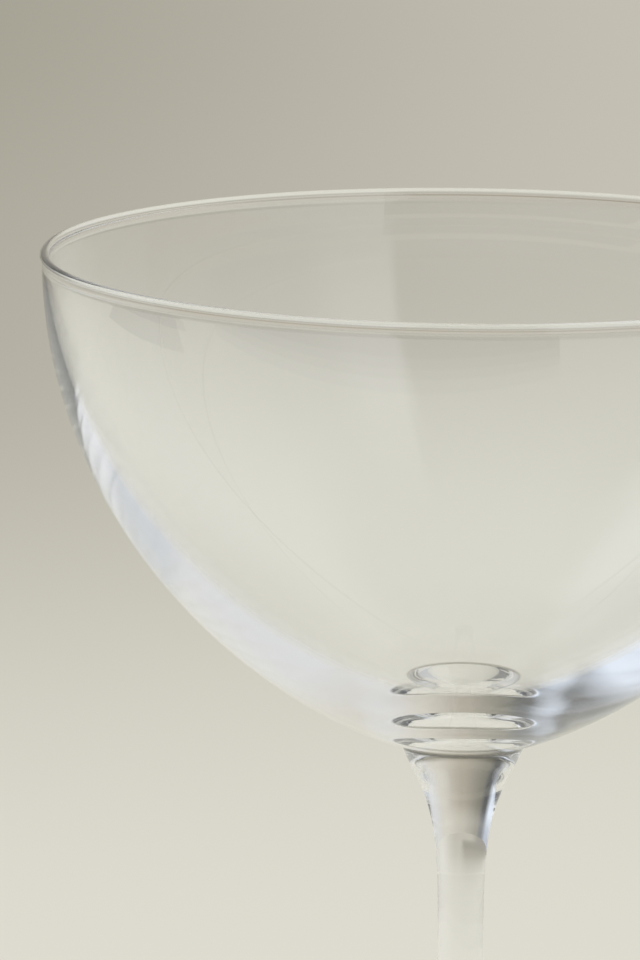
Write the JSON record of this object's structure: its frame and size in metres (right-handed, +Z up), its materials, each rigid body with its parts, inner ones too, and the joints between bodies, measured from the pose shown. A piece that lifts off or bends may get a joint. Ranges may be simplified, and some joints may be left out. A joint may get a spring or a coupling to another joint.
{
  "type": "coupe glass",
  "caption": "Stemmed coupe glass with a wide, deep, thick-based bowl, a beaded rim, a slender flared stem and a round foot, for serving cocktails or sparkling wine.",
  "frame": {"origin": "centre of the foot's underside, on the plane of its resting ring", "axes": "+Z up along the glass's axis of revolution, +X and +Y level and interchangeable"},
  "size_m": [0.105, 0.105, 0.1559],
  "materials": {
    "clear_glass": "clear, colourless, fire-polished glass with a faint cool tint through its thick parts"
  },
  "bodies": {
    "root": {"bowl": "clear_glass", "stem": "clear_glass", "foot": "clear_glass"}
  },
  "joints": []
}
